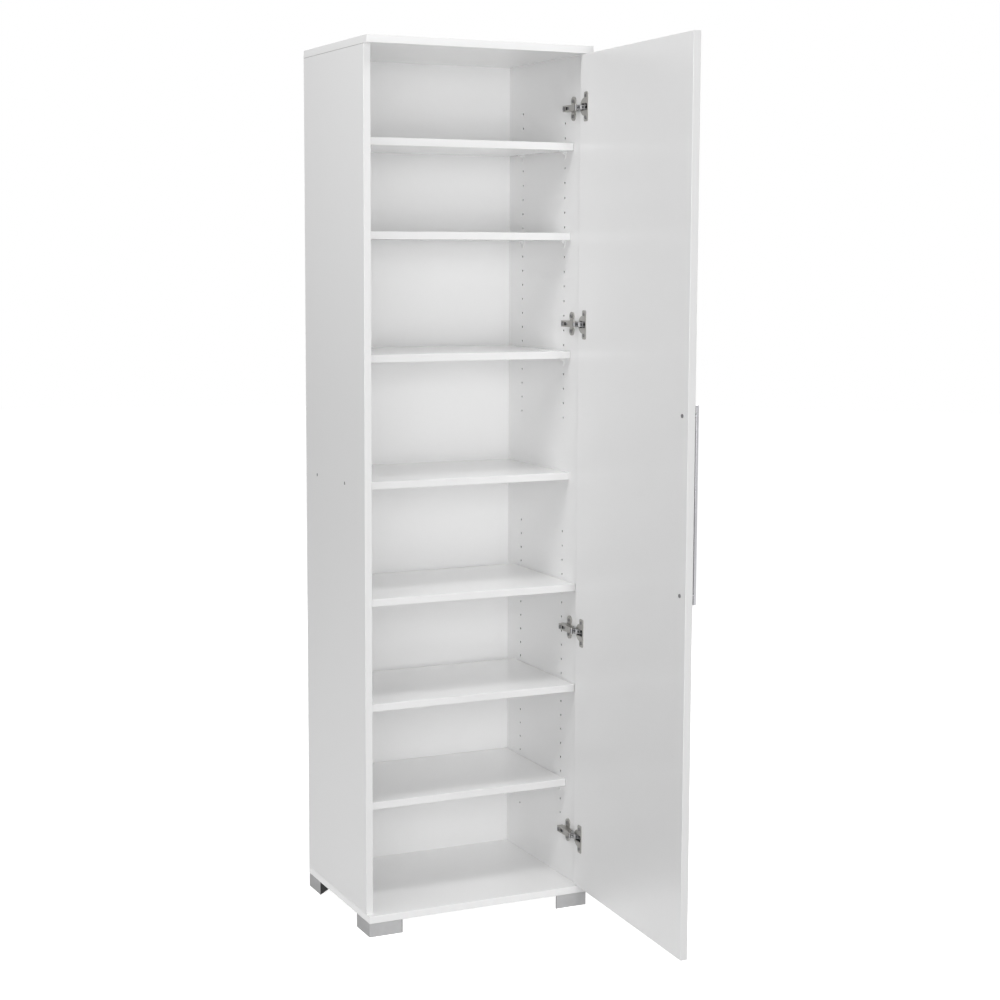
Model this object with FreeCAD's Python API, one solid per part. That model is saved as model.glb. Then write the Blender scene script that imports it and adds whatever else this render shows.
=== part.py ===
import FreeCAD, Part
import math
import os

# Broom cupboard: white board carcass, seven shelves and one door on four concealed hinges.
# Millimetres and degrees. The front faces -Y, the hinges are on the right at +X and +Z is up.
# The origin is on the floor, under the middle of the carcass.
# The door stands open, as it is at rest.

# Carcass
width = 515.0
board = 16.0
side_depth = 358.0
front_overhang = 20.0
inner_height = 1814.0
foot_height = 29.0
arris = 1.0
back_thickness = 3.0
back_margin = 2.0

# Shelf holes: two groups in each column, counted from the inside ends of the side panels
hole_pitch = 32.0
hole_radius = 2.5
hole_depth = 12.0
hole_end_distance = 108.5
hole_middle_distance = 126.5
front_column_inset = 79.0
rear_column_inset = 70.0

# Shelves: the adjustable ones are numbered from the top, and stand part of the way along a group of holes
shelf_thickness = 16.0
shelf_shortfall = 53.0
shelf_side_gap = 1.0
upper_shelf_shares = [0.14, 0.43, 0.81]
lower_shelf_shares = [0.81, 0.48, 0.14]
shelf_1_setback = 37.0
shelf_2_setback = 48.0
shelf_3_setback = 46.0
shelf_4_setback = 12.0
shelf_5_setback = 11.0
shelf_6_setback = 52.0
fixed_shelf_setback = 48.0

# Shelf pegs
peg_seat_rise = 4.0
peg_seat_thickness = 2.0
peg_seat_length = 10.0
peg_width = 15.0
peg_drop = 17.0
peg_sheet = 1.6
peg_web = 2.4
peg_stem_length = 10.0

# Fits and cuts
fit = 0.05
overrun = 1.0

# Carcass screws, dowels and nails
carcass_screw_radius = 2.5
carcass_screw_length = 46.0
carcass_screw_head_radius = 3.5
carcass_screw_head_height = 3.0
corner_screw_inset = 90.0
shelf_screw_inset = 70.0
dowel_radius = 4.0
dowel_length = 30.0
dowel_in_side = 20.0
dowel_inset = 50.0
nail_radius = 0.7
nail_length = 19.0
nail_head_radius = 1.5
nail_head_height = 0.5
nails_per_side = 8
nails_per_end = 4
nail_end_distance = 60.0

# Feet
foot_leg = 75.0
foot_sheet = 2.0
foot_screw_radius = 1.75
foot_screw_length = 12.0
foot_screw_head_radius = 3.5
foot_screw_head_height = 2.0
foot_screw_shares = [(0.25, 0.25), (0.58, 0.19), (0.19, 0.58)]

# Door
door_thickness = 16.0
door_reveal = 1.0
door_gap = 2.0
door_back_gap = 2.0
rest_angle = 87.0

# Handle
handle_length = 392.0
handle_width = 8.0
handle_thickness = 5.5
handle_clearance = 12.0
handle_edge_distance = 23.0
handle_post_inset = 20.0
handle_post_radius = 3.5
handle_round = 0.8
handle_screw_radius = 2.0
handle_screw_length = 25.0
handle_screw_head_radius = 3.8
handle_screw_head_height = 2.0

# Hinge places: the outer ones from the inside ends, the inner ones part of the way out from the middle
hinge_end_distance = 112.0
hinge_near_share = 0.421

# Hinge cup, measured from the door's hinge edge and inner face
cup_edge_distance = 21.5
cup_radius = 17.5
cup_wall = 1.0
cup_depth = 12.0
cup_floor = 1.0
cup_pocket_half_width = 7.2
flange_thickness = 1.2
flange_rim = 1.0
ear_offset = 9.5
ear_width = 20.0
ear_reach = 31.0
ear_round = 5.0
ear_screw_rise = 22.5
cup_screw_radius = 1.75
cup_screw_length = 13.0
cup_screw_head_radius = 3.4
cup_screw_head_height = 1.6

# Hinge pins: in the arm from the side panel's inner face and front edge,
# in the cup from the door's hinge edge and inner face
pin_radius = 1.0
long_arm_pin_height = 13.8
long_arm_pin_back = 12.0
short_arm_pin_height = 18.6
short_arm_pin_back = -6.5
long_cup_pin_edge = 7.8
long_cup_pin_depth = 6.3
short_cup_pin_edge = 12.2
short_cup_pin_depth = 8.0
cup_pin_bite = 2.4

# Hinge links: bends as shares of the distance between the link's two pins
link_sheet = 1.2
link_eye_wall = 1.0
long_link_half_width = 2.2
short_link_gap = 0.4
short_link_plate = 2.2
open_eye_radius = 2.3
open_eye_wall = 0.8
long_link_bend_shares = [(0.41, 0.0), (0.736, -0.264), (0.842, -0.291), (0.931, -0.226), (0.966, -0.15)]
short_link_bend_shares = [(0.277, -0.046), (0.415, -0.152), (0.553, -0.152), (0.669, -0.111)]

# Hinge arm
arm_height = 16.3
arm_sheet = 1.2
arm_side_gap = 0.6
arm_rear = 58.0
arm_side_front = 9.5
arm_web_front = 3.0
arm_edge = 4.5
arm_nose_wall = 1.6
arm_slot_length = 6.0
arm_window_back = 35.0
arm_window_length = 8.0
arm_window_width = 7.0

# Hinge mounting plate
plate_thickness = 3.0
plate_screw_line = 37.0
plate_hole_spacing = 32.0
plate_wing_radius = 9.5
plate_waist = 14.0
plate_window_floor = 3.0
plate_block_front = 24.0
plate_block_rear = 56.0
plate_block_side_gap = 0.4
plate_screw_radius = 2.5
plate_screw_length = 13.0
plate_screw_head_radius = 3.6
plate_screw_head_height = 1.6

# Hinge arm screws
fixing_screw_back = 50.0
fixing_screw_radius = 2.0
fixing_screw_length = 10.0
fixing_screw_head_radius = 4.0
fixing_screw_head_height = 2.0
adjusting_screw_back = 31.0
adjusting_screw_radius = 2.0
adjusting_screw_length = 8.0
adjusting_screw_head_radius = 3.0
adjusting_screw_head_height = 1.0

# Closing spring, a leaf on the arm's web that curls round the long link's eye
spring_sheet = 0.7
spring_half_width = 2.0
spring_clearance = 0.4
spring_rear = 23.0
spring_curl_start = 15.0
spring_curl_end = 135.0

# Screw recesses, as shares of the head
recess_width_share = 0.28
recess_length_share = 1.2
recess_depth_share = 0.5

# Places worked out from the sizes above
half_width = width / 2
panel_depth = side_depth + front_overhang
front_y = -(panel_depth + back_thickness) / 2
rear_y = front_y + panel_depth
side_front_y = front_y + front_overhang
inner_x = half_width - board
side_middle_x = half_width - board / 2
floor_z = foot_height + board
ceiling_z = floor_z + inner_height
top_z = ceiling_z + board
middle_z = floor_z + inner_height / 2
door_width = width - 2 * door_reveal
door_bottom_z = floor_z + door_gap
door_top_z = ceiling_z - door_gap
handle_hole_spacing = handle_length - 2 * handle_post_inset
hinge_far_rise = inner_height / 2 - hinge_end_distance
hinge_near_rise = hinge_far_rise * hinge_near_share
hinge_heights = [
    middle_z + hinge_far_rise,
    middle_z + hinge_near_rise,
    middle_z - hinge_near_rise,
    middle_z - hinge_far_rise,
]
short_link_inner = long_link_half_width + short_link_gap
short_link_outer = short_link_inner + short_link_plate
arm_inner_half = short_link_outer + arm_side_gap
arm_outer_half = arm_inner_half + arm_sheet
link_eye_radius = pin_radius + link_eye_wall
shelf_setbacks = [
    shelf_1_setback,
    shelf_2_setback,
    shelf_3_setback,
    shelf_4_setback,
    shelf_5_setback,
    shelf_6_setback,
]
shelf_depth = side_depth - shelf_shortfall
column_places = [side_front_y + front_column_inset, rear_y - rear_column_inset]
last_hole = int((inner_height / 2 - hole_end_distance - hole_middle_distance) / hole_pitch)
upper_holes = [ceiling_z - hole_end_distance - hole_pitch * step for step in range(last_hole + 1)]
lower_holes = [floor_z + hole_end_distance + hole_pitch * step for step in range(last_hole + 1)]
shelf_hole_heights = [upper_holes[round(last_hole * share)] for share in upper_shelf_shares]
shelf_hole_heights += [lower_holes[round(last_hole * share)] for share in lower_shelf_shares]


def vector(x, y, z=0):
    """Point or direction."""
    return FreeCAD.Vector(x, y, z)


def block(x, y, z):
    """Box between two values along each axis."""
    return Part.makeBox(x[1] - x[0], y[1] - y[0], z[1] - z[0], vector(x[0], y[0], z[0]))


def rod(radius, start, axis, length):
    """Cylinder from a point along an axis."""
    return Part.makeCylinder(radius, length, start, axis)


def join(solids):
    """One solid from touching or crossing ones."""
    return solids[0].multiFuse(solids[1:]).removeSplitter() if solids[1:] else solids[0]


def drill(shape, tools):
    """Cut the tools that reach the shape."""
    near = [tool for tool in tools if tool.BoundBox.intersect(shape.BoundBox)]
    return shape.cut(near) if near else shape


def rounded(shape, radius, keep):
    """Round the edges whose middle passes a test."""
    edges = [edge for edge in shape.Edges if keep(edge.CenterOfMass)]
    return shape.makeFillet(radius, edges)


def moved(shape, place):
    """Copy of a shape at a placement."""
    copy = shape.copy()
    copy.Placement = place.multiply(copy.Placement)
    return copy


def turned(point, degrees):
    """Placement that turns about Z and then moves the origin to a point."""
    return FreeCAD.Placement(point, FreeCAD.Rotation(vector(0, 0, 1), degrees))


class Screw:
    """Screw with a round head and a cross recess. Its seat is the plane under the head."""

    def __init__(self, radius, length, head_radius, head_height):
        self.radius = radius
        self.length = length
        self.head_radius = head_radius
        self.head_height = head_height

    def solid(self, seat, axis):
        """The screw, with its shank along the axis."""
        up = vector(0, 0, 1)
        shank = rod(self.radius, vector(0, 0), up, self.length)
        head = rod(self.head_radius, vector(0, 0, -self.head_height), up, self.head_height)
        half = self.head_radius * recess_length_share / 2
        slot = self.head_radius * recess_width_share / 2
        depth = self.head_height * (recess_depth_share - 1)
        sink = (-self.head_height - overrun, depth)
        recess = [block((-half, half), (-slot, slot), sink), block((-slot, slot), (-half, half), sink)]
        body = head.fuse(shank).removeSplitter().cut(recess)
        return moved(body, FreeCAD.Placement(seat, FreeCAD.Rotation(up, axis)))

    def hole(self, seat, axis):
        """Clearance for the shank on both sides of the seat plane."""
        start = seat - axis * overrun
        return rod(self.radius + fit, start, axis, self.length + overrun + fit)

    def sunk_hole(self, seat, axis):
        """Clearance for the shank and for a head let in flush."""
        start = seat - axis * (self.head_height + overrun)
        head = rod(self.head_radius + fit, start, axis, self.head_height + overrun)
        return head.fuse(self.hole(seat, axis))


carcass_screw = Screw(
    carcass_screw_radius, carcass_screw_length, carcass_screw_head_radius, carcass_screw_head_height
)
nail = Screw(nail_radius, nail_length, nail_head_radius, nail_head_height)
foot_screw = Screw(foot_screw_radius, foot_screw_length, foot_screw_head_radius, foot_screw_head_height)
plate_screw = Screw(plate_screw_radius, plate_screw_length, plate_screw_head_radius, plate_screw_head_height)
cup_screw = Screw(cup_screw_radius, cup_screw_length, cup_screw_head_radius, cup_screw_head_height)
handle_screw = Screw(
    handle_screw_radius, handle_screw_length, handle_screw_head_radius, handle_screw_head_height
)
fixing_screw = Screw(
    fixing_screw_radius, fixing_screw_length, fixing_screw_head_radius, fixing_screw_head_height
)
adjusting_screw = Screw(
    adjusting_screw_radius, adjusting_screw_length, adjusting_screw_head_radius, adjusting_screw_head_height
)


# Fasteners of the carcass
def corner_places(inset):
    """Points over the side panels' ends, a distance in from their front and rear edges."""
    return [vector(side * side_middle_x, y)
            for side in (-1, 1)
            for y in (side_front_y + inset, rear_y - inset)]


def carcass_screw_seats():
    """Seats and axes of the screws in the top, the bottom and the fixed shelf."""
    sink = carcass_screw_head_height
    up = vector(0, 0, 1)
    corners = corner_places(corner_screw_inset)
    seats = [(corner + up * (top_z - sink), -up) for corner in corners]
    seats += [(corner + up * (foot_height + sink), up) for corner in corners]
    shelf_front = side_front_y + fixed_shelf_setback
    for side in (-1, 1):
        for y in (shelf_front + shelf_screw_inset, rear_y - shelf_screw_inset):
            seats.append((vector(side * (half_width - sink), y, middle_z), vector(-side, 0)))
    return seats


def dowels(slack):
    """Dowels across the joints of the side panels with the top and bottom panels."""
    length = dowel_length + 2 * slack
    rods = []
    for place in corner_places(dowel_inset):
        top = place + vector(0, 0, ceiling_z - dowel_in_side - slack)
        low = place + vector(0, 0, floor_z + dowel_in_side + slack)
        rods.append(rod(dowel_radius + slack, top, vector(0, 0, 1), length))
        rods.append(rod(dowel_radius + slack, low, vector(0, 0, -1), length))
    return rods


def spread(first, last, count):
    """Evenly spaced values from the first to the last."""
    return [first + (last - first) * step / (count - 1) for step in range(count)]


def nail_seats():
    """Seats and axes of the nails round the back panel."""
    y = rear_y + back_thickness - nail_head_height
    inward = vector(0, -1)
    heights = spread(floor_z + nail_end_distance, ceiling_z - nail_end_distance, nails_per_side)
    across = spread(nail_end_distance - half_width, half_width - nail_end_distance, nails_per_end)
    seats = [(vector(side * side_middle_x, y, z), inward) for side in (-1, 1) for z in heights]
    ends = (foot_height + board / 2, ceiling_z + board / 2)
    return seats + [(vector(x, y, z), inward) for x in across for z in ends]


def foot_places():
    """Placements of the feet, from the front left round to the rear left."""
    corners = [(-half_width, front_y), (half_width, front_y), (half_width, rear_y), (-half_width, rear_y)]
    return [turned(vector(x, y), 90 * step) for step, (x, y) in enumerate(corners)]


def foot_screw_seats():
    """Seats and axes of the screws that hold the feet, under their top plates."""
    up = vector(0, 0, 1)
    return [(place.multVec(vector(foot_leg * a, foot_leg * b, foot_height - foot_sheet)), up)
            for place in foot_places()
            for a, b in foot_screw_shares]


def plate_screw_seats():
    """Seats and axes of the screws through the wings of the hinge plates."""
    x = inner_x - plate_thickness
    y = side_front_y + plate_screw_line
    return [(vector(x, y, z + side * plate_hole_spacing / 2), vector(1, 0))
            for z in hinge_heights
            for side in (1, -1)]


def carcass_holes():
    """All the holes that the fasteners need in the boards."""
    holes = [carcass_screw.sunk_hole(*seat) for seat in carcass_screw_seats()]
    holes += dowels(fit)
    holes += [nail.sunk_hole(*seat) for seat in nail_seats()]
    holes += [foot_screw.hole(*seat) for seat in foot_screw_seats()]
    holes += [plate_screw.hole(*seat) for seat in plate_screw_seats()]
    return holes


# Boards
def end_panel(low):
    """Top or bottom panel, rounded round its front edge and along its ends."""
    panel = block((-half_width, half_width), (front_y, rear_y), (low, low + board))
    end = half_width - arris
    return rounded(panel, arris, lambda p: p.y < front_y + arris or abs(p.x) > end and p.y < rear_y - arris)


def side_panel(side):
    """Side panel with rounded front corners and its shelf holes."""
    x = sorted((side * inner_x, side * half_width))
    panel = block(x, (side_front_y, rear_y), (floor_z, ceiling_z))
    panel = rounded(panel, arris, lambda p: p.y < side_front_y + arris and floor_z < p.z < ceiling_z)
    start = side * (inner_x - overrun)
    holes = [rod(hole_radius, vector(start, y, z), vector(side, 0), hole_depth + overrun)
             for y in column_places
             for z in upper_holes + lower_holes]
    return panel.cut(holes)


def back_panel():
    """Thin board over the rear edges of the carcass."""
    reach = half_width - back_margin
    heights = (foot_height + back_margin, top_z - back_margin)
    return block((-reach, reach), (rear_y, rear_y + back_thickness), heights)


def shelf(reach, front, rear, low):
    """Loose or fixed shelf, rounded along its front."""
    slab = block((-reach, reach), (front, rear), (low, low + shelf_thickness))
    return rounded(slab, arris, lambda p: p.y < front + arris and -reach < p.x < reach)


def adjustable_shelf(number):
    """Shelf on its four pegs."""
    front = side_front_y + shelf_setbacks[number]
    low = shelf_hole_heights[number] + peg_seat_rise
    return shelf(inner_x - shelf_side_gap, front, front + shelf_depth, low)


def peg(side, y, height):
    """Plastic peg: stem in its hole, pointed plate on the panel, seat under the shelf and a web."""
    seat_top = height + peg_seat_rise
    seat_low = seat_top - peg_seat_thickness
    half = peg_width / 2
    face = side * inner_x
    root = vector(face - side * peg_sheet, y, height)
    stem = rod(hole_radius - fit, root, vector(side, 0), peg_stem_length + peg_sheet)
    corners = [vector(face, y - half, seat_low), vector(face, y + half, seat_low),
               vector(face, y, seat_top - peg_drop)]
    plate = Part.Face(Part.makePolygon(corners + corners[:1])).extrude(vector(-side * peg_sheet, 0))
    tip = face - side * peg_seat_length
    seat = block(sorted((face, tip)), (y - half, y + half), (seat_low, seat_top))
    web = [vector(face, y - peg_web / 2, seat_low), vector(tip, y - peg_web / 2, seat_low),
           vector(face, y - peg_web / 2, seat_top - peg_drop / 2)]
    web = Part.Face(Part.makePolygon(web + web[:1])).extrude(vector(0, peg_web))
    return join([plate, seat, web, stem])


def shelf_pegs():
    """Four pegs under each adjustable shelf."""
    return [peg(side, y, height)
            for height in shelf_hole_heights
            for side in (-1, 1)
            for y in column_places]


def corner_prism(near, far, low, high):
    """Upright three-cornered solid with its square corner at (near, near) and its legs out to far."""
    corners = [vector(near, near, low), vector(far, near, low), vector(near, far, low)]
    return Part.Face(Part.makePolygon(corners + corners[:1])).extrude(vector(0, 0, high - low))


def corner_foot():
    """Three-cornered foot with its square corner at the origin: three upright walls under a plate."""
    slant_share = 1 + math.sqrt(2)
    hollow_far = foot_leg - foot_sheet * slant_share
    hollow = corner_prism(foot_sheet, hollow_far, -overrun, foot_height - foot_sheet)
    foot = corner_prism(0, foot_leg, 0, foot_height).cut(hollow)
    return rounded(foot, foot_sheet, lambda p: p.x + p.y < foot_sheet)


# Door, in its own frame: X from the hinge edge to the free edge, Y from the inner face into the door
def pin_distance(first, second):
    """Distance between two points of the plan."""
    return math.hypot(second.x - first.x, second.y - first.y)


def arm_pin(height, back):
    """Plan position of a pin in the hinge arms."""
    return vector(inner_x - height, side_front_y + back)


long_arm_pin = arm_pin(long_arm_pin_height, long_arm_pin_back)
short_arm_pin = arm_pin(short_arm_pin_height, short_arm_pin_back)
long_cup_pin = vector(long_cup_pin_edge, long_cup_pin_depth)
short_cup_pin = vector(short_cup_pin_edge, short_cup_pin_depth)
closed_door = turned(vector(half_width - door_reveal, side_front_y - door_back_gap), 180)
long_link_length = pin_distance(long_arm_pin, closed_door.multVec(long_cup_pin))
short_link_length = pin_distance(short_arm_pin, closed_door.multVec(short_cup_pin))


def door_place(angle):
    """Placement of the door at an opening angle, where both links keep their lengths."""
    turn = turned(vector(0, 0), 180 + angle)
    long_centre = long_arm_pin - turn.multVec(long_cup_pin)
    short_centre = short_arm_pin - turn.multVec(short_cup_pin)
    across = long_centre - short_centre
    span = across.Length
    along = (short_link_length ** 2 - long_link_length ** 2 + span ** 2) / (2 * span)
    side = math.sqrt(short_link_length ** 2 - along ** 2)
    direction = across / span
    normal = vector(direction.y, -direction.x)
    return turned(short_centre + direction * along + normal * side, 180 + angle)


rest_door = door_place(rest_angle)


def cup_screw_seats():
    """Seats and axes of the screws through the cups' ears."""
    x = cup_edge_distance + ear_offset
    return [(vector(x, -flange_thickness, z + side * ear_screw_rise), vector(0, 1))
            for z in hinge_heights
            for side in (1, -1)]


def handle_screw_seats():
    """Seats and axes of the handle's screws, on the door's inner face."""
    x = door_width - handle_edge_distance
    return [(vector(x, 0, middle_z + side * handle_hole_spacing / 2), vector(0, 1)) for side in (1, -1)]


def door_panel():
    """Door board, rounded all round, with its cup bores and screw holes."""
    panel = block((0, door_width), (0, door_thickness), (door_bottom_z, door_top_z))
    faces = (0, door_thickness)
    panel = rounded(panel, arris, lambda p: min(abs(p.y - y) for y in faces) < arris)
    inward = vector(0, 1)
    cuts = [rod(cup_radius + fit, vector(cup_edge_distance, -overrun, z), inward, cup_depth + overrun)
            for z in hinge_heights]
    cuts += [cup_screw.hole(*seat) for seat in cup_screw_seats()]
    cuts += [handle_screw.hole(*seat) for seat in handle_screw_seats()]
    return panel.cut(cuts)


def handle():
    """Slim bar on two posts."""
    x = door_width - handle_edge_distance
    low = door_thickness + handle_clearance
    half = handle_width / 2
    bar = block((x - half, x + half), (low, low + handle_thickness),
                (middle_z - handle_length / 2, middle_z + handle_length / 2))
    bar = bar.makeFillet(handle_round, bar.Edges)
    reach = handle_clearance + handle_round
    posts = [rod(handle_post_radius, vector(x, door_thickness, seat.z), axis, reach)
             for seat, axis in handle_screw_seats()]
    return join([bar] + posts).cut([handle_screw.hole(*seat) for seat in handle_screw_seats()])


# Hinges
def cup_pin_rods(radius, height):
    """Pins in a cup: one across the pocket for the long link and two stubs for the short link's plates."""
    reach = cup_pocket_half_width + cup_pin_bite
    up = vector(0, 0, 1)
    base = vector(0, 0, height)
    pins = [rod(radius, long_cup_pin + base - up * reach, up, 2 * reach)]
    for side in (1, -1):
        start = short_cup_pin + base + up * (side * short_link_inner)
        pins.append(rod(radius, start, up * side, reach - short_link_inner))
    return pins


def hinge_cup(height):
    """Cup with a pocket for the links, a rim and two screw ears."""
    axis = vector(0, 1)
    centre = vector(cup_edge_distance, 0, height)
    body = rod(cup_radius, centre, axis, cup_depth)
    low = centre - axis * flange_thickness
    rim = rod(cup_radius + flange_rim, low, axis, flange_thickness)
    ear_x = cup_edge_distance + ear_offset
    half_ear = ear_width / 2
    ears = block((ear_x - half_ear, ear_x + half_ear), (-flange_thickness, 0),
                 (height - ear_reach, height + ear_reach))
    corner = half_ear + ear_reach - fit
    ears = rounded(ears, ear_round, lambda p: abs(p.x - ear_x) + abs(p.z - height) > corner)
    sunk = flange_thickness + overrun + cup_depth - cup_floor
    pocket = rod(cup_radius - cup_wall, low - axis * overrun, axis, sunk)
    slab = block((0, 2 * cup_edge_distance), (-flange_thickness - overrun, cup_depth),
                 (height - cup_pocket_half_width, height + cup_pocket_half_width))
    cuts = [pocket.common(slab)] + cup_pin_rods(pin_radius + fit, height)
    cuts += [cup_screw.hole(*seat) for seat in cup_screw_seats()]
    return drill(join([body, rim, ears]), cuts)


def strip(points, half_sheet, low, high):
    """Bent strip along a line of plan points, between two heights."""
    pieces = []
    for first, second in zip(points[:-1], points[1:]):
        length = pin_distance(first, second)
        bearing = math.degrees(math.atan2(second.y - first.y, second.x - first.x))
        run = block((0, length), (-half_sheet, half_sheet), (low, high))
        pieces.append(moved(run, turned(first, bearing)))
    up = vector(0, 0, 1)
    return pieces + [rod(half_sheet, point + up * low, up, high - low) for point in points[1:-1]]


def link_line(length, shares):
    """Plan points of a link from its arm pin to its cup pin."""
    bends = [vector(length * along, length * across) for along, across in shares]
    return [vector(0, 0)] + bends + [vector(length, 0)]


def link_place(arm_pin_point, cup_pin_point):
    """Placement of a link at rest, from its arm pin towards its cup pin on the door."""
    end = rest_door.multVec(cup_pin_point)
    bearing = math.degrees(math.atan2(end.y - arm_pin_point.y, end.x - arm_pin_point.x))
    return turned(arm_pin_point, bearing)


def long_link():
    """Middle link with an eye at each end."""
    half = long_link_half_width
    up = vector(0, 0, 1)
    ends = [vector(0, 0, -half), vector(long_link_length, 0, -half)]
    pieces = strip(link_line(long_link_length, long_link_bend_shares), link_sheet / 2, -half, half)
    pieces += [rod(link_eye_radius, end, up, 2 * half) for end in ends]
    through = 2 * (half + overrun)
    return join(pieces).cut([rod(pin_radius + fit, end - up * overrun, up, through) for end in ends])


def short_link():
    """Outer link: two plates on stub pins in the cup, joined by a sleeve round the arm's front pin."""
    up = vector(0, 0, 1)
    line = link_line(short_link_length, short_link_bend_shares)
    tube = open_eye_radius + open_eye_wall
    pieces = [rod(tube, up * -short_link_outer, up, 2 * short_link_outer)]
    for low in (short_link_inner, -short_link_outer):
        pieces += strip(line, link_sheet / 2, low, low + short_link_plate)
        pieces.append(rod(link_eye_radius, vector(short_link_length, 0, low), up, short_link_plate))
    reach = short_link_outer + overrun
    holes = [rod(open_eye_radius, up * -reach, up, 2 * reach)]
    holes.append(rod(pin_radius + fit, vector(short_link_length, 0, -reach), up, 2 * reach))
    return join(pieces).cut(holes)


def arm_pin_rods(radius, height):
    """The two pins in an arm, flush with its sides."""
    up = vector(0, 0, 1)
    base = vector(0, 0, height - arm_outer_half)
    return [rod(radius, pin + base, up, 2 * arm_outer_half) for pin in (long_arm_pin, short_arm_pin)]


def fixing_seat(height):
    """Seat and axis of the screw that clamps the arm on its plate."""
    return vector(inner_x - arm_height - arm_sheet, side_front_y + fixing_screw_back, height), vector(1, 0)


def adjusting_seat(height):
    """Seat and axis of the screw that sets the arm sideways."""
    return vector(inner_x - arm_height - arm_sheet, side_front_y + adjusting_screw_back, height), vector(1, 0)


def arm_window(height, depth):
    """Cut for the window in an arm's web and for the pocket under it."""
    top = inner_x - arm_height - arm_sheet - overrun
    front = side_front_y + arm_window_back
    half = arm_window_width / 2
    return block((top, top + overrun + arm_sheet + depth), (front, front + arm_window_length),
                 (height - half, height + half))


def hinge_arm(height):
    """Arm: a channel open towards the panel, with a window and two noses that carry the front pin."""
    up = vector(0, 0, 1)
    rear = side_front_y + arm_rear
    web_x = inner_x - arm_height
    low = height - arm_outer_half
    high = height + arm_outer_half
    pieces = [block((web_x - arm_sheet, web_x), (side_front_y + arm_web_front, rear), (low, high))]
    nose = pin_radius + arm_nose_wall
    pins = [long_arm_pin, short_arm_pin]
    for base in (low, high - arm_sheet):
        span = (base, base + arm_sheet)
        depth = (side_front_y + arm_side_front, rear)
        pieces.append(block((web_x - arm_sheet, inner_x - arm_edge), depth, span))
        pieces += strip(pins, nose, *span)
        pieces += [rod(nose, pin + up * base, up, arm_sheet) for pin in pins]
    slot_y = side_front_y + fixing_screw_back
    slot_half = fixing_screw_radius + fit
    slot = block((web_x - arm_sheet - overrun, web_x + overrun), (slot_y, slot_y + arm_slot_length),
                 (height - slot_half, height + slot_half))
    cuts = [slot, arm_window(height, overrun)]
    cuts += [fixing_screw.hole(*fixing_seat(height)), adjusting_screw.hole(*adjusting_seat(height))]
    return join(pieces).cut(cuts + arm_pin_rods(pin_radius + fit, height))


def hinge_plate(height):
    """Mounting plate: two round wings on the panel and a block with a pocket that the arm sits on."""
    line_y = side_front_y + plate_screw_line
    half_waist = plate_waist / 2
    rise = plate_hole_spacing / 2
    base = inner_x - plate_thickness
    across = (line_y - half_waist, line_y + half_waist)
    pieces = [block((base, inner_x), across, (height - rise, height + rise))]
    for side in (1, -1):
        centre = vector(base, line_y, height + side * rise)
        pieces.append(rod(plate_wing_radius, centre, vector(1, 0), plate_thickness))
    half_block = arm_inner_half - plate_block_side_gap
    pieces.append(block((inner_x - arm_height, inner_x),
                        (side_front_y + plate_block_front, side_front_y + plate_block_rear),
                        (height - half_block, height + half_block)))
    cuts = [plate_screw.hole(*seat) for seat in plate_screw_seats()]
    cuts += [fixing_screw.hole(*fixing_seat(height)), adjusting_screw.hole(*adjusting_seat(height))]
    cuts.append(arm_window(height, arm_height - plate_window_floor))
    return drill(join(pieces), cuts)


def closing_spring(height):
    """Leaf under the arm's web that curls round the rear of the long link's eye."""
    up = vector(0, 0, 1)
    low = height - spring_half_width
    inner = link_eye_radius + spring_clearance
    centre = long_arm_pin + up * low
    sweep = spring_curl_end - spring_curl_start
    ring = Part.makeCylinder(inner + spring_sheet, 2 * spring_half_width, centre, up, sweep)
    ring = ring.cut(rod(inner, centre - up * overrun, up, 2 * (spring_half_width + overrun)))
    ring.rotate(centre, up, spring_curl_start)
    web_x = inner_x - arm_height
    end = math.radians(spring_curl_end)
    foot_y = long_arm_pin.y + inner * math.sin(end)
    heights = (low, low + 2 * spring_half_width)
    leaf = block((web_x, web_x + spring_sheet), (foot_y, side_front_y + spring_rear), heights)
    return join([leaf, ring])


# Output
def export(name, shape):
    """Write one node of the part."""
    solids = shape if isinstance(shape, list) else [shape]
    for solid in solids:
        assert solid.isValid() and len(solid.Solids) == 1, name
    Part.makeCompound([solid.Solids[0] for solid in solids]).exportStep("parts/%s.step" % name)


def export_carcass():
    """Boards, shelves, pegs and feet."""
    holes = carcass_holes()
    export("top_panel", drill(end_panel(ceiling_z), holes))
    export("bottom_panel", drill(end_panel(foot_height), holes))
    export("left_side_panel", drill(side_panel(-1), holes))
    export("right_side_panel", drill(side_panel(1), holes))
    export("back_panel", drill(back_panel(), holes))
    middle = shelf(inner_x, side_front_y + fixed_shelf_setback, rear_y, middle_z - shelf_thickness / 2)
    export("fixed_middle_shelf", drill(middle, holes))
    for number in range(len(shelf_setbacks)):
        export("adjustable_shelf_%d" % (number + 1), adjustable_shelf(number))
    export("shelf_pegs", shelf_pegs())
    foot_names = ["front_left_foot", "front_right_foot", "rear_right_foot", "rear_left_foot"]
    for name, place in zip(foot_names, foot_places()):
        export(name, drill(moved(corner_foot(), place), holes))


def export_fasteners():
    """Screws, dowels and nails of the carcass."""
    export("carcass_screws", [carcass_screw.solid(*seat) for seat in carcass_screw_seats()])
    export("corner_dowels", dowels(0))
    export("back_nails", [nail.solid(*seat) for seat in nail_seats()])
    export("foot_screws", [foot_screw.solid(*seat) for seat in foot_screw_seats()])


def export_door():
    """Door board with its handle."""
    export("door_panel", moved(door_panel(), rest_door))
    export("handle", moved(handle(), rest_door))
    export("handle_screws", [moved(handle_screw.solid(*seat), rest_door) for seat in handle_screw_seats()])


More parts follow.
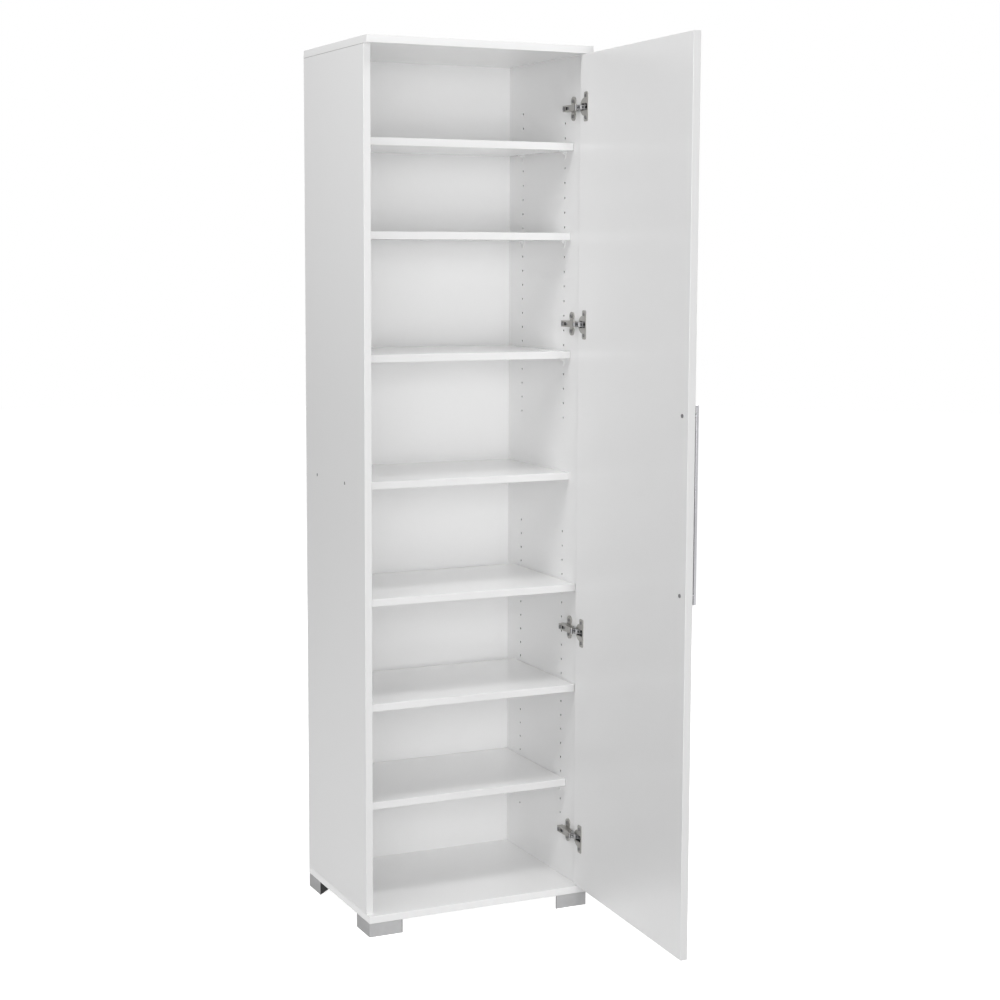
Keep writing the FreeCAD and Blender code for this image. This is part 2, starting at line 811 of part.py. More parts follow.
def export_hinges():
    """Four hinges, numbered from the top."""
    long_place = link_place(long_arm_pin, long_cup_pin)
    short_place = link_place(short_arm_pin, short_cup_pin)
    for number, height in enumerate(hinge_heights, 1):
        rise = turned(vector(0, 0, height), 0)
        export("hinge_plate_%d" % number, hinge_plate(height))
        export("hinge_arm_%d" % number, hinge_arm(height))
        export("hinge_cup_%d" % number, moved(hinge_cup(height), rest_door))
        export("long_link_%d" % number, moved(moved(long_link(), long_place), rise))
        export("short_link_%d" % number, moved(moved(short_link(), short_place), rise))
    export("arm_pins", [pin for z in hinge_heights for pin in arm_pin_rods(pin_radius, z)])
    cup_pins = [pin for z in hinge_heights for pin in cup_pin_rods(pin_radius, z)]
    export("cup_pins", [moved(pin, rest_door) for pin in cup_pins])
    export("closing_springs", [closing_spring(z) for z in hinge_heights])
    export("plate_screws", [plate_screw.solid(*seat) for seat in plate_screw_seats()])
    export("cup_screws", [moved(cup_screw.solid(*seat), rest_door) for seat in cup_screw_seats()])
    export("arm_fixing_screws", [fixing_screw.solid(*fixing_seat(z)) for z in hinge_heights])
    export("arm_adjusting_screws", [adjusting_screw.solid(*adjusting_seat(z)) for z in hinge_heights])


os.makedirs("parts", exist_ok=True)
export_carcass()
export_fasteners()
export_door()
export_hinges()
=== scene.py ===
"""Looks of a tall white cupboard: finishes for its CAD pieces, a pale studio and the camera.

Metres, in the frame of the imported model: the front faces -Y, the hinges are at +X and +Z is up.
"""

import math

import bpy
import numpy as np
from mathutils import Matrix, Vector


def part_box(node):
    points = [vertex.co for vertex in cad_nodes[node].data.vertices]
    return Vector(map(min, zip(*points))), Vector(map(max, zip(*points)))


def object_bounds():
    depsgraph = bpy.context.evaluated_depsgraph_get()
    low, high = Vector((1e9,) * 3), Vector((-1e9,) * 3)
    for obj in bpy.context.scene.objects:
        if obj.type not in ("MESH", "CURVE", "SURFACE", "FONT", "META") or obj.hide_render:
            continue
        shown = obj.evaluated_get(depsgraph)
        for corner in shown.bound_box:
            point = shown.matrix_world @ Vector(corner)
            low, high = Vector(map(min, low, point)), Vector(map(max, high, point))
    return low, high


bl_info = {
    "name": "White cupboard looks",
    "version": (1, 0, 0),
    "blender": (4, 5, 0),
    "location": "3D View > Sidebar > Cupboard",
    "description": "Finishes, studio and camera for a packed white cupboard",
    "category": "Material",
}

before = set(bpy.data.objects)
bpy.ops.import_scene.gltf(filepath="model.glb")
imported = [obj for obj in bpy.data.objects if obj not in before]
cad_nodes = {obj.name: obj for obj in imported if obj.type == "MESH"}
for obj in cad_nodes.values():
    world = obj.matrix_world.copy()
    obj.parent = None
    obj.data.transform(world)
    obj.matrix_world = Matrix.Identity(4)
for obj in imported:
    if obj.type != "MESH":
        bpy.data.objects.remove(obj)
cad_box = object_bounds()

# Pieces by finish
end_names = ["top_panel", "bottom_panel"]
board_names = end_names + ["left_side_panel", "right_side_panel", "fixed_middle_shelf"]
board_names += ["adjustable_shelf_%d" % number for number in range(1, 7)]
outer_sides = {"left_side_panel": -1, "right_side_panel": 1}
foot_names = ["front_left_foot", "front_right_foot", "rear_right_foot", "rear_left_foot"]
plate_names, arm_names, cup_names = (["hinge_%s_%d" % (kind, number) for number in range(1, 5)]
                                     for kind in ("plate", "arm", "cup"))
link_names = ["%s_link_%d" % (kind, number) for kind in ("long", "short") for number in range(1, 5)]
steel_names = ["arm_pins", "cup_pins", "closing_springs", "plate_screws", "cup_screws",
               "arm_fixing_screws", "arm_adjusting_screws", "handle_screws", "carcass_screws",
               "foot_screws", "back_nails"]

# The door's own axes at rest: half a turn and the 87 degrees by which it stands open
door_turn = math.radians(267)

# White facing: where each layer starts and is full, below the faces of a board
core_start, core_full = 0.0006, 0.0010
band_full, band_end = 0.0003, 0.0012
# Painted seam shade at the top of each outer side, partly the unbanded end: where it starts and is full
# below the top end, then below the outer face
seam_shade_start, seam_shade_full = 0.0011, 0.0005
seam_shade_skin_start, seam_shade_skin_full = 0.0012, 0.0008
wave_scale, pearl_scale, chip_scale = 3.0, 1400.0, 420.0
wave_depth, pearl_depth = 0.0004, 0.000004
chip_stretch = (1, 1, 0.4)
chip_low, chip_high = 0.35, 0.65
# Chipboard inside the bored holes, from and to: near black, painted shade of the deep holes over the
# chipboard's own brown
chip_shade_dark, chip_shade_light = (0.02, 0.015, 0.010, 1), (0.06, 0.045, 0.03, 1)
tone_below, tone_above = 0.012, 0.008
gloss_below, gloss_above, core_roughness = 0.04, 0.05, 0.5
coat_roughness, facing_ior = 0.09, 1.5

# Back lacquer, peg plastic and beech: scale of the pattern, roughness from and to, depth of the relief
back_cloud_scale, fibre_scale, fibre_stretch = 7.0, 900.0, (1, 1, 3)
back_roughness, fibre_depth = (0.38, 0.52), 0.00001
flow_scale, peg_grain_scale, flow_below = 250.0, 3000.0, 0.03
peg_roughness, peg_grain_depth = (0.36, 0.48), 0.00001
beech_scale, beech_stretch = 1200.0, (1, 1, 14)
beech_dark, beech_pale = (0.56, 0.40, 0.24, 1), (0.74, 0.58, 0.38, 1)
beech_roughness, beech_depth = (0.55, 0.75), 0.00003

# Metals: roughness, its spread, stretch, scale and depth of the polish marks
nickel_polish = (0.36, 0.06, (1, 1, 1), 500.0, 0.000012)
zinc_polish = (0.44, 0.08, (1, 1, 1), 800.0, 0.00001)
chrome_polish = (0.10, 0.03, (1, 1, 12), 900.0, 0.000004)
brushed_polish = (0.44, 0.08, (40, 40, 1), 2600.0, 0.00002)
brushed_metallic, brushed_ior = 0.1, 1.15
mark_low, mark_high = 0.25, 0.75
metal_cloud_scale, metal_cloud_share = 60.0, 0.86
# Dark grey past a hollow's start and its blend: painted shade on the hinge plates and cups, a darker
# slanting inner wall on the feet
hollow_dark_grey, hollow_dark_blend = 0.035, 0.0006
plate_wing, hinge_cover, foot_sheet = 0.003, 0.0005, 0.0012

# Studio: floor grey for the light and for the camera, the floor's grid, bounces and sensor
floor_grey, floor_seen_grey, floor_glow = 0.50, 0.80, 0.86
floor_rings, floor_steps, floor_start = 24, 96, 0.05
softbox_sides = ["front", "fill", "left", "top", "rear"]
light_bounces, diffuse_bounces = 16, 12
sensor_width = 36.0

# Sockets of a Mix node that blends colours
mix_factor, mix_first, mix_second, mix_result = 0, 6, 7, 2


class Look:
    """A node material in the making."""

    def __init__(self, name, **sockets):
        self.material = bpy.data.materials.new(name)
        self.material.use_nodes = True
        self.tree = self.material.node_tree
        self.shader = self.tree.nodes["Principled BSDF"]
        for socket, value in sockets.items():
            self.feed(self.shader.inputs[socket.replace("_", " ")], value)

    def feed(self, socket, value):
        """Link an output to a socket, or set the socket's own value."""
        if isinstance(value, bpy.types.NodeSocket):
            self.tree.links.new(value, socket)
        else:
            socket.default_value = value

    def dress(self, colour, roughness, normal):
        """Feed the shader's colour, roughness and normal."""
        self.feed(self.shader.inputs["Base Color"], colour)
        self.feed(self.shader.inputs["Roughness"], roughness)
        self.feed(self.shader.inputs["Normal"], normal)

    def add(self, kind, inputs, output=0, **settings):
        """Add a node with its settings and inputs, and give one of its outputs."""
        node = self.tree.nodes.new("ShaderNode" + kind)
        for setting, value in settings.items():
            setattr(node, setting, value)
        for socket, value in inputs.items():
            self.feed(node.inputs[socket], value)
        return node.outputs[output]

    def place(self, centre=(0, 0, 0), turn=0.0, scale=(1, 1, 1)):
        """Object coordinates from a centre, turned about Z and divided by a scale."""
        point = self.add("TexCoord", {}, "Object")
        inputs = {"Vector": point, "Location": centre, "Rotation": (0, 0, turn), "Scale": scale}
        return self.add("Mapping", inputs, vector_type="TEXTURE")

    def noise(self, point, scale, detail=2.0):
        """Smooth noise between 0 and 1."""
        return self.add("TexNoise", {"Vector": point, "Scale": scale, "Detail": detail})

    def span(self, value, low, high, start=0.0, end=1.0):
        """Map a value from its start and end to a low and high figure, held between them."""
        inputs = {"Value": value, "From Min": start, "From Max": end, "To Min": low, "To Max": high}
        return self.add("MapRange", inputs)

    def shade(self, factor, first, second):
        """Blend two colours."""
        inputs = {mix_factor: factor, mix_first: first, mix_second: second}
        return self.add("Mix", inputs, mix_result, data_type="RGBA")

    def axes(self, point):
        """The three coordinates of a point."""
        node = self.tree.nodes.new("ShaderNodeSeparateXYZ")
        self.feed(node.inputs[0], point)
        return node.outputs

    def relief(self, height, depth, normal=None):
        """Bump from a height, with its depth in metres."""
        inputs = {"Height": height, "Strength": 1.0, "Distance": depth}
        if normal is not None:
            inputs["Normal"] = normal
        return self.add("Bump", inputs)

    def wear(self, names):
        """Give the finish to CAD nodes."""
        for name in names:
            mesh = cad_nodes[name].data
            mesh.materials.clear()
            mesh.materials.append(self.material)


def grey(level):
    """Opaque neutral grey."""
    return (level, level, level, 1.0)


def depths(look, point, half):
    """Depth of a point in a board along each axis: half its size minus the distance from its middle."""
    distance = look.add("VectorMath", {0: point}, operation="ABSOLUTE")
    return look.axes(look.add("VectorMath", {0: half, 1: distance}, operation="SUBTRACT"))


def least(look, values):
    """The smallest of several values."""
    small = values[0]
    for value in values[1:]:
        small = look.add("Math", {0: small, 1: value}, operation="MINIMUM")
    return small


def board_finish(name, centre, half, turn, tints, coat, banded="", outer=0):
    """White facing with a fine pearl and slow waves in its gloss.

    Edges across the banded axes wear a greyer band, an outer side (-1 left, 1 right) shows a thin
    dark line at its top, painted seam shade over its unbanded end, and chipboard shows inside the
    bored holes, darkened to near black as painted shade.
    """
    look = Look(name, Coat_Weight=coat, Coat_Roughness=coat_roughness, IOR=facing_ior)
    point = look.place(centre, turn)
    waves = look.noise(point, wave_scale, 3.0)
    pearl = look.noise(point, pearl_scale, 1.0)
    chips = look.noise(look.place(centre, turn, chip_stretch), chip_scale, 3.0)
    inside = depths(look, point, half)
    core = look.span(least(look, inside), 0.0, 1.0, core_start, core_full)
    level = tints.board_white
    facing = look.shade(waves, grey(level - tone_below), grey(level + tone_above))
    if banded:
        edge = least(look, [inside["XYZ".index(axis)] for axis in banded])
        band = look.span(edge, 1.0, 0.0, band_full, band_end)
        facing = look.shade(band, facing, grey(tints.band_white))
    # Painted shade: a thin dark line along the top of the outer side stands for the shade in its seam with
    # the top panel, partly the unbanded end's own edge
    if outer:
        across, _, up = look.axes(point)
        top = look.span(up, 0.0, 1.0, half.z - seam_shade_start, half.z - seam_shade_full)
        side = look.span(across, 0.0, top, outer * (half.x - seam_shade_skin_start),
                         outer * (half.x - seam_shade_skin_full))
        facing = look.shade(side, facing, grey(tints.seam_edge_and_shade_grey))
    # Painted shade: near-black chipboard stands for the shade deep in the bored holes
    chipboard = look.shade(look.span(chips, 0.0, 1.0, chip_low, chip_high), chip_shade_dark, chip_shade_light)
    gloss = look.span(waves, tints.board_roughness - gloss_below, tints.board_roughness + gloss_above)
    rough_core = look.span(core, 0.0, core_roughness)
    look.dress(look.shade(core, facing, chipboard),
               look.add("Math", {0: gloss, 1: rough_core}, operation="ADD"),
               look.relief(waves, wave_depth, look.relief(pearl, pearl_depth)))
    return look


def metal_finish(name, colour, polish, hollow=None, **sockets):
    """Metal whose polish marks are noise drawn out along a stretch.

    A hollow is a middle, a turn, an axis and a start: past the start along that axis the metal is
    dark, painted shade on the hinge plates under the arms and on the cups inside the door.
    """
    roughness, spread, stretch, scale, depth = polish
    look = Look(name, **({"Metallic": 1.0} | sockets))
    marks = look.noise(look.place(scale=stretch), scale, 4.0)
    cloud = look.noise(look.place(), metal_cloud_scale, 2.0)
    dark = tuple(metal_cloud_share * value for value in colour)
    tone = look.shade(cloud, (*dark, 1), (*colour, 1))
    if hollow:
        centre, turn, axis, start = hollow
        along = look.axes(look.place(centre, turn))["XYZ".index(axis)]
        # Dark past the start: painted shade on the hinges' covered parts, a darker inner wall on the feet
        hollow_dark = look.span(along, 0.0, 1.0, start, start + hollow_dark_blend)
        tone = look.shade(hollow_dark, tone, grey(hollow_dark_grey))
    look.dress(tone, look.span(marks, roughness - spread, roughness + spread, mark_low, mark_high),
               look.relief(marks, depth))
    return look


def board_box(name):
    """Middle and half size of a board that lies square to the frame."""
    low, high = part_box(name)
    return (low + high) / 2, (high - low) / 2


def turned_box(name, turn):
    """Middle and half size of a board turned about Z, from its points in its own axes."""
    mesh = cad_nodes[name].data
    points = np.empty(3 * len(mesh.vertices))
    mesh.vertices.foreach_get("co", points)
    axes = np.array(Matrix.Rotation(turn, 3, "Z"))
    own = points.reshape(-1, 3) @ axes
    low, high = own.min(0), own.max(0)
    return Vector(axes @ ((low + high) / 2)), Vector((high - low) / 2)


class CupboardTints(bpy.types.PropertyGroup):
    """Colours and gloss of the finishes."""

    board_white: bpy.props.FloatProperty(
        name="Board white", description="Grey level of the white facing",
        default=0.89, min=0.0, max=1.0)
    board_roughness: bpy.props.FloatProperty(
        name="Board roughness", description="Roughness of the facing under its clear top",
        default=0.32, min=0.0, max=1.0)
    band_white: bpy.props.FloatProperty(
        name="Edge band white", description="Grey level of the banded edges",
        default=0.81, min=0.0, max=1.0)
    # Painted shade: this line stands for the seam's shade at the top of each side, partly the unbanded
    # end's own edge
    seam_edge_and_shade_grey: bpy.props.FloatProperty(
        name="Joint line", description="Grey level of the thin line at the top of each side",
        default=0.34, min=0.0, max=1.0)
    level_coat: bpy.props.FloatProperty(
        name="Level clear top", description="Weight of the glossy top of the shelves and the end panels",
        default=0.8, min=0.0, max=1.0)
    upright_coat: bpy.props.FloatProperty(
        name="Upright clear top", description="Weight of the glossy top of the sides and the door",
        default=0.2, min=0.0, max=1.0)
    back_white: bpy.props.FloatProperty(
        name="Back white", description="Grey level of the lacquered back board",
        default=0.865, min=0.0, max=1.0)
    peg_white: bpy.props.FloatProperty(
        name="Peg white", description="Grey level of the plastic pegs",
        default=0.84, min=0.0, max=1.0)
    nickel: bpy.props.FloatVectorProperty(
        name="Nickel", description="Colour of the hinges", subtype="COLOR",
        default=(0.50, 0.49, 0.47), min=0.0, max=1.0)
    zinc: bpy.props.FloatVectorProperty(
        name="Zinc", description="Colour of links, screws and nails", subtype="COLOR",
        default=(0.28, 0.28, 0.285), min=0.0, max=1.0)
    chrome: bpy.props.FloatVectorProperty(
        name="Chrome", description="Colour of the handle", subtype="COLOR",
        default=(0.50, 0.50, 0.52), min=0.0, max=1.0)
    brushed: bpy.props.FloatVectorProperty(
        name="Brushed metal", description="Colour of the feet", subtype="COLOR",
        default=(0.55, 0.55, 0.555), min=0.0, max=1.0)


class CupboardStudio(bpy.types.PropertyGroup):
    """Light, floor and camera."""

    ambient: bpy.props.FloatProperty(
        name="Sky", description="Strength of the even light from all round", default=0.20, min=0.0)
    front_power: bpy.props.FloatProperty(
        name="Front softbox", description="Power of the softbox in front of the opening",
        default=61.0, min=0.0, unit="POWER")
    front_place: bpy.props.FloatVectorProperty(
        name="Front place", description="Middle of the front softbox", subtype="TRANSLATION",
        default=(-0.8, -4.8, 1.5))
    front_size: bpy.props.FloatProperty(
        name="Front size", description="Side of the front softbox", default=2.2, min=0.1, unit="LENGTH")
    fill_power: bpy.props.FloatProperty(
        name="Fill softbox", description="Power of the softbox left of the camera",
        default=39.0, min=0.0, unit="POWER")
    fill_place: bpy.props.FloatVectorProperty(
        name="Fill place", description="Middle of the fill softbox", subtype="TRANSLATION",
        default=(-2.1, -4.0, 1.1))
    fill_size: bpy.props.FloatProperty(
        name="Fill size", description="Side of the fill softbox", default=2.2, min=0.1, unit="LENGTH")
    left_power: bpy.props.FloatProperty(
        name="Left softbox", description="Power of the high softbox on the left",
        default=32.0, min=0.0, unit="POWER")
    left_place: bpy.props.FloatVectorProperty(
        name="Left place", description="Middle of the left softbox", subtype="TRANSLATION",
        default=(-2.1, -0.9, 3.1))
    left_size: bpy.props.FloatProperty(
        name="Left size", description="Side of the left softbox", default=1.6, min=0.1, unit="LENGTH")
    top_power: bpy.props.FloatProperty(
        name="Top softbox", description="Power of the softbox high in front of the opening",
        default=92.0, min=0.0, unit="POWER")
    top_place: bpy.props.FloatVectorProperty(
        name="Top place", description="Middle of the top softbox", subtype="TRANSLATION",
        default=(0.0, -2.15, 6.36))
    top_size: bpy.props.FloatProperty(
        name="Top size", description="Side of the top softbox", default=1.15, min=0.1, unit="LENGTH")
    rear_power: bpy.props.FloatProperty(
        name="Rear softbox", description="Power of the softbox behind on the right",
        default=40.0, min=0.0, unit="POWER")
    rear_place: bpy.props.FloatVectorProperty(
        name="Rear place", description="Middle of the rear softbox", subtype="TRANSLATION",
        default=(2.4, 2.4, 1.6))
    rear_size: bpy.props.FloatProperty(
        name="Rear size", description="Side of the rear softbox", default=2.2, min=0.1, unit="LENGTH")
    floor_reach: bpy.props.FloatProperty(
        name="Floor reach", description="Radius of the floor", default=14.0, min=2.0, unit="LENGTH")
    eye: bpy.props.FloatVectorProperty(
        name="Camera place", description="Where the camera stands", subtype="TRANSLATION",
        default=(-1.710317, -3.922835, 1.443713))
    yaw: bpy.props.FloatProperty(
        name="Camera yaw", description="Turn to the right of straight ahead", subtype="ANGLE",
        default=math.radians(25.151))
    pitch: bpy.props.FloatProperty(
        name="Camera pitch", description="Tilt above the level", subtype="ANGLE",
        default=math.radians(-6.400))
    roll: bpy.props.FloatProperty(
        name="Camera roll", description="Turn about the line of sight", subtype="ANGLE",
        default=math.radians(0.238))
    lens: bpy.props.FloatProperty(
        name="Lens", description="Focal length on a 36 mm sensor", default=70.4025, min=1.0, unit="CAMERA")
    rise: bpy.props.FloatProperty(
        name="Lens shift", description="Upward shift of the lens, in frame widths", default=-0.03)


class CUPBOARD_OT_boards(bpy.types.Operator):
    """Face the carcass boards, the shelves and the door in white"""

    bl_idname = "cupboard.boards"
    bl_label = "White boards"

    def execute(self, context):
        tints = context.scene.cupboard_tints
        for name in board_names:
            centre, half = board_box(name)
            banded = "" if name in end_names else "Y"
            outer = outer_sides.get(name, 0)
            coat = tints.upright_coat if outer else tints.level_coat
            look = board_finish(name + "_facing", centre, half, 0.0, tints, coat, banded, outer)
            look.wear([name])
        centre, half = turned_box("door_panel", door_turn)
        look = board_finish("door_facing", centre, half, door_turn, tints, tints.upright_coat, "XZ")
        look.wear(["door_panel"])
        return {"FINISHED"}


class CUPBOARD_OT_back(bpy.types.Operator):
    """Lacquer the thin back board"""

    bl_idname = "cupboard.back"
    bl_label = "Back board"

    def execute(self, context):
        level = context.scene.cupboard_tints.back_white
        look = Look("back_lacquer")
        cloud = look.noise(look.place(), back_cloud_scale, 4.0)
        fibre = look.noise(look.place(scale=fibre_stretch), fibre_scale, 3.0)
        look.dress(look.shade(cloud, grey(level - tone_below), grey(level + tone_above)),
                   look.span(fibre, *back_roughness), look.relief(fibre, fibre_depth))
        look.wear(["back_panel"])
        return {"FINISHED"}


class CUPBOARD_OT_pegs(bpy.types.Operator):
    """Give the shelf pegs a moulded white plastic"""

    bl_idname = "cupboard.pegs"
    bl_label = "Shelf pegs"

    def execute(self, context):
        level = context.scene.cupboard_tints.peg_white
        look = Look("peg_plastic")
        point = look.place()
        flow = look.noise(point, flow_scale, 3.0)
        grain = look.noise(point, peg_grain_scale, 1.0)
        look.dress(look.shade(flow, grey(level - flow_below), grey(level)),
                   look.span(flow, *peg_roughness), look.relief(grain, peg_grain_depth))
        look.wear(["shelf_pegs"])
        return {"FINISHED"}


class CUPBOARD_OT_hinges(bpy.types.Operator):
    """Nickel-plate the hinge plates, arms and cups, with painted shade on the plates under the arms and on
    the cups inside the door
    """

    bl_idname = "cupboard.hinges"
    bl_label = "Hinges"

    def execute(self, context):
        colour = tuple(context.scene.cupboard_tints.nickel)
        metal_finish("arm_nickel", colour, nickel_polish).wear(arm_names)
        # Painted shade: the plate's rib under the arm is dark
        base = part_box("hinge_plate_1")[1].x - plate_wing
        hollow = ((base, 0, 0), math.pi, "X", hinge_cover)
        metal_finish("plate_nickel", colour, nickel_polish, hollow).wear(plate_names)
        # Painted shade: the cup's pocket inside the door is dark
        centre, half = turned_box("door_panel", door_turn)
        hollow = (centre, door_turn, "Y", hinge_cover - half.y)
        metal_finish("cup_nickel", colour, nickel_polish, hollow).wear(cup_names)
        return {"FINISHED"}


class CUPBOARD_OT_steel(bpy.types.Operator):
    """Zinc-plate the links, pins, springs, screws and nails"""

    bl_idname = "cupboard.steel"
    bl_label = "Links and fasteners"

    def execute(self, context):
        colour = tuple(context.scene.cupboard_tints.zinc)
        metal_finish("zinc_steel", colour, zinc_polish).wear(link_names + steel_names)
        return {"FINISHED"}


class CUPBOARD_OT_handle(bpy.types.Operator):
    """Polish the handle to chrome"""

    bl_idname = "cupboard.handle"
    bl_label = "Handle"

    def execute(self, context):
        colour = tuple(context.scene.cupboard_tints.chrome)
        metal_finish("handle_chrome", colour, chrome_polish).wear(["handle"])
        return {"FINISHED"}


class CUPBOARD_OT_feet(bpy.types.Operator):
    """Brush the corner feet along their walls, dark on the slanting wall inside"""

    bl_idname = "cupboard.feet"
    bl_label = "Feet"

    def execute(self, context):
        colour = tuple(context.scene.cupboard_tints.brushed)
        for step, name in enumerate(foot_names):
            low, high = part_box(name)
            corner = (low.x if "left" in name else high.x, low.y if "front" in name else high.y, 0)
            slant = (high.x - low.x) * math.sqrt(0.5)
            hollow = (corner, math.radians(45 + 90 * step), "X", slant - foot_sheet)
            look = metal_finish(name + "_brushed", colour, brushed_polish, hollow,
                                Metallic=brushed_metallic, IOR=brushed_ior)
            look.wear([name])
        return {"FINISHED"}


class CUPBOARD_OT_dowels(bpy.types.Operator):
    """Give the dowels their bare beech"""

    bl_idname = "cupboard.dowels"
    bl_label = "Dowels"

    def execute(self, context):
        look = Look("dowel_beech")
        grain = look.noise(look.place(scale=beech_stretch), beech_scale, 4.0)
        look.dress(look.shade(grain, beech_dark, beech_pale), look.span(grain, *beech_roughness),
                   look.relief(grain, beech_depth))
        look.wear(["corner_dowels"])
        return {"FINISHED"}


def seen_ray(tree):
    """1 for what is seen straight, mirrored or through glass: the greatest of three Light Path outputs."""
    path = tree.nodes.new("ShaderNodeLightPath")
    seen = path.outputs["Is Camera Ray"]
    for name in ("Is Glossy Ray", "Is Transmission Ray"):
        most = tree.nodes.new("ShaderNodeMath")
        most.operation = "MAXIMUM"
        tree.links.new(seen, most.inputs[0])
        tree.links.new(path.outputs[name], most.inputs[1])
        seen = most.outputs[0]
    return seen


def mix_seen(tree, lit, seen, out):
    """Send one shader to the light's rays and another to the seen rays."""
    mix = tree.nodes.new("ShaderNodeMixShader")
    tree.links.new(seen_ray(tree), mix.inputs[0])
    tree.links.new(lit.outputs[0], mix.inputs[1])
    tree.links.new(seen.outputs[0], mix.inputs[2])
    tree.links.new(mix.outputs[0], out.inputs[0])


def white_sky(ambient):
    """Even light from all round on the object; the camera sees white."""
    world = bpy.data.worlds.new("studio_sky")
    bpy.context.scene.world = world
    world.use_nodes = True
    tree = world.node_tree
    tree.nodes.clear()
    light, white = (tree.nodes.new("ShaderNodeBackground") for _ in range(2))
    light.inputs["Strength"].default_value = ambient
    white.inputs["Strength"].default_value = 1.0
    for background in (light, white):
        background.inputs["Color"].default_value = grey(1.0)
    mix_seen(tree, light, white, tree.nodes.new("ShaderNodeOutputWorld"))


def floor_paint():
    """Pale floor that the camera sees as white under a soft shadow."""
    paint = bpy.data.materials.new("studio_floor")
    paint.use_nodes = True
    tree = paint.node_tree
    tree.nodes.clear()
    plain, shadowed = (tree.nodes.new("ShaderNodeBsdfDiffuse") for _ in range(2))
    plain.inputs["Color"].default_value = grey(floor_grey)
    shadowed.inputs["Color"].default_value = grey(floor_seen_grey)
    glow = tree.nodes.new("ShaderNodeEmission")
    glow.inputs["Strength"].default_value = floor_glow
    both = tree.nodes.new("ShaderNodeAddShader")
    tree.links.new(shadowed.outputs[0], both.inputs[0])
    tree.links.new(glow.outputs[0], both.inputs[1])
    mix_seen(tree, plain, both, tree.nodes.new("ShaderNodeOutputMaterial"))
    return paint


def floor_disc(reach):
    """Round floor: a polar grid, x = r cos a and y = r sin a, r growing as the square of its step."""
    radius = reach * np.linspace(floor_start, 1.0, floor_rings)[:, None] ** 2
    angle = np.linspace(0.0, 2 * np.pi, floor_steps, endpoint=False)[None, :]
    points = np.stack([radius * np.cos(angle), radius * np.sin(angle), 0 * radius * angle], -1)
    ring, step = np.meshgrid(np.arange(floor_rings - 1), np.arange(floor_steps), indexing="ij")
    after = (step + 1) % floor_steps
    inner, outer = ring * floor_steps, (ring + 1) * floor_steps
    quads = np.stack([inner + step, outer + step, outer + after, inner + after], -1)
    middle = list(range(floor_steps))
    mesh = bpy.data.meshes.new("floor")
    mesh.from_pydata(points.reshape(-1, 3).tolist(), [], quads.reshape(-1, 4).tolist() + [middle])
    floor = bpy.data.objects.new("floor", mesh)
    bpy.context.scene.collection.objects.link(floor)
    return floor


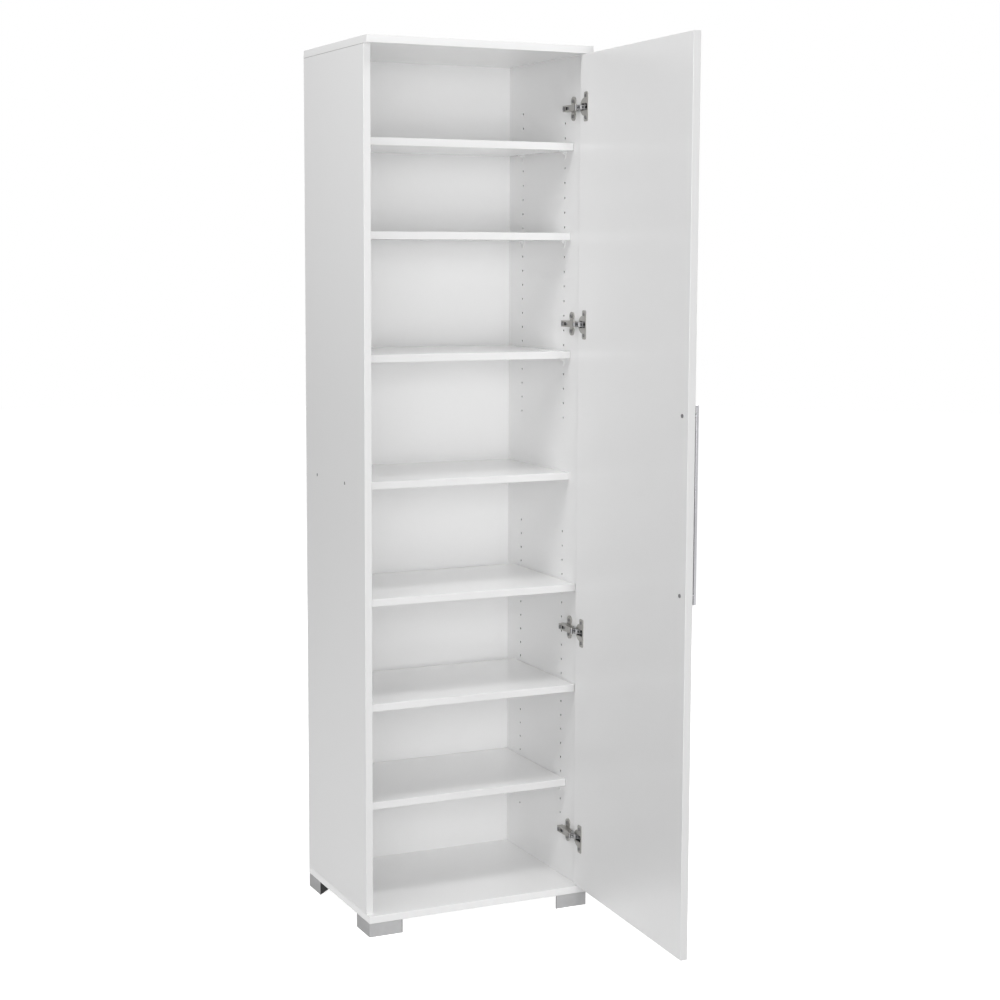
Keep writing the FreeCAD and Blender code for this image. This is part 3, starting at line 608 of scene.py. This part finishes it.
class CUPBOARD_OT_stage(bpy.types.Operator):
    """Set up the sky, the floor, the softboxes and the camera"""

    bl_idname = "cupboard.stage"
    bl_label = "Studio and camera"

    def execute(self, context):
        scene = context.scene
        studio = scene.cupboard_studio
        scene.view_settings.view_transform = "Standard"
        white_sky(studio.ambient)
        floor = floor_disc(studio.floor_reach)
        floor.data.materials.append(floor_paint())
        for side in softbox_sides:
            self.softbox(scene, studio, side)
        self.camera(scene, studio)
        scene.cycles.max_bounces = light_bounces
        scene.cycles.diffuse_bounces = diffuse_bounces
        return {"FINISHED"}

    def softbox(self, scene, studio, side):
        """Square light that faces the middle of the cupboard and is out of the camera's sight."""
        light = bpy.data.lights.new(side + "_softbox", "AREA")
        light.energy = getattr(studio, side + "_power")
        light.size = getattr(studio, side + "_size")
        box = bpy.data.objects.new(side + "_softbox", light)
        box.visible_camera = False
        scene.collection.objects.link(box)
        place = Vector(getattr(studio, side + "_place"))
        aim = (cad_box[0] + cad_box[1]) / 2 - place
        turn = aim.to_track_quat("-Z", "Y").to_matrix()
        box.matrix_world = Matrix.Translation(place) @ turn.to_4x4()

    def camera(self, scene, studio):
        """Camera on the photograph's line of sight: right, up and back from yaw, pitch and roll."""
        right = Vector((math.cos(studio.yaw), -math.sin(studio.yaw), 0))
        reach = math.cos(studio.pitch)
        ahead = Vector((math.sin(studio.yaw) * reach, math.cos(studio.yaw) * reach,
                        math.sin(studio.pitch)))
        level = Matrix((right, right.cross(ahead), -ahead)).transposed()
        data = bpy.data.cameras.new("eye")
        data.sensor_width = sensor_width
        data.lens = studio.lens
        data.shift_y = studio.rise
        eye = bpy.data.objects.new("eye", data)
        scene.collection.objects.link(eye)
        turn = level @ Matrix.Rotation(studio.roll, 3, "Z")
        eye.matrix_world = Matrix.Translation(studio.eye) @ turn.to_4x4()
        scene.camera = eye


pieces = [CUPBOARD_OT_boards, CUPBOARD_OT_back, CUPBOARD_OT_pegs, CUPBOARD_OT_hinges,
          CUPBOARD_OT_steel, CUPBOARD_OT_handle, CUPBOARD_OT_feet, CUPBOARD_OT_dowels,
          CUPBOARD_OT_stage]


class CUPBOARD_PT_looks(bpy.types.Panel):
    """Sizes, colours and steps of the cupboard's looks"""

    bl_idname = "CUPBOARD_PT_looks"
    bl_label = "White cupboard"
    bl_space_type = "VIEW_3D"
    bl_region_type = "UI"
    bl_category = "Cupboard"

    def draw(self, context):
        for group in (context.scene.cupboard_tints, context.scene.cupboard_studio):
            box = self.layout.box()
            for name in group.__annotations__:
                box.prop(group, name)
        for piece in pieces:
            self.layout.operator(piece.bl_idname)


classes = [CupboardTints, CupboardStudio, *pieces, CUPBOARD_PT_looks]


def register():
    """Add the classes and their properties."""
    for item in classes:
        bpy.utils.register_class(item)
    bpy.types.Scene.cupboard_tints = bpy.props.PointerProperty(type=CupboardTints)
    bpy.types.Scene.cupboard_studio = bpy.props.PointerProperty(type=CupboardStudio)


def unregister():
    """Take the properties and classes away."""
    del bpy.types.Scene.cupboard_studio
    del bpy.types.Scene.cupboard_tints
    for item in reversed(classes):
        bpy.utils.unregister_class(item)


def main():
    """Make every piece in order."""
    register()
    bpy.ops.cupboard.boards()
    bpy.ops.cupboard.back()
    bpy.ops.cupboard.pegs()
    bpy.ops.cupboard.hinges()
    bpy.ops.cupboard.steel()
    bpy.ops.cupboard.handle()
    bpy.ops.cupboard.feet()
    bpy.ops.cupboard.dowels()
    bpy.ops.cupboard.stage()


if __name__ == "__main__":
    main()
